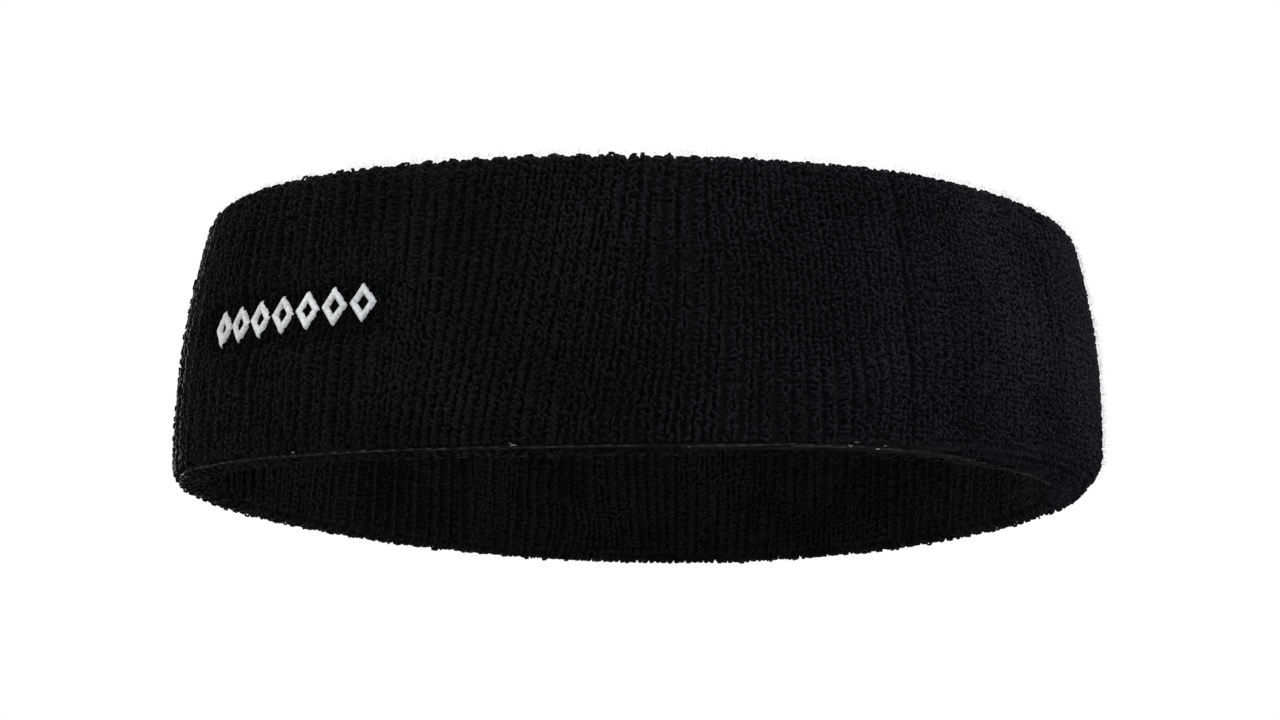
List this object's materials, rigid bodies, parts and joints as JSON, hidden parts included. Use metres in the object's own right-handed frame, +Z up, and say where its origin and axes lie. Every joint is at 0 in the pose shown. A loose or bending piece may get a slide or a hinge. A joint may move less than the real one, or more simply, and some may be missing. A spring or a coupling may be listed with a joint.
{
  "type": "sports headband",
  "caption": "Terry sweatband for the head: a wide elastic ring of folded double-layer terry knit, closed by a seam in its lower rim, with a small white embroidered motif at the front.",
  "frame": {"origin": "middle of the band's bounding box in plan, on the surface that the lower rim stands on", "axes": "+Z up, along the wearer's head; -Y is the front, where the embroidery is; +X is the wearer's left"},
  "size_m": [0.169, 0.2022, 0.0525],
  "materials": {
    "terry": "black cotton terry pile, fully matt with a faint soft sheen at grazing angles",
    "elastic_yarn": "covered elastic yarn, satin",
    "seam_thread": "twisted sewing thread, slight sheen",
    "satin_thread": "white embroidery thread, silky",
    "backing": "non-woven stabiliser, matt"
  },
  "bodies": {
    "root": {"folded_terry_tube": "terry", "linking_seam": "seam_thread", "elastic_round_1": "elastic_yarn", "elastic_round_2": "elastic_yarn", "elastic_round_3": "elastic_yarn", "elastic_round_4": "elastic_yarn", "elastic_round_5": "elastic_yarn", "elastic_round_6": "elastic_yarn", "embroidery_backing": "backing", "satin_lozenge_1": "satin_thread", "satin_lozenge_2": "satin_thread", "satin_lozenge_3": "satin_thread", "satin_lozenge_4": "satin_thread", "satin_lozenge_5": "satin_thread", "satin_lozenge_6": "satin_thread", "satin_lozenge_7": "satin_thread"}
  },
  "joints": []
}
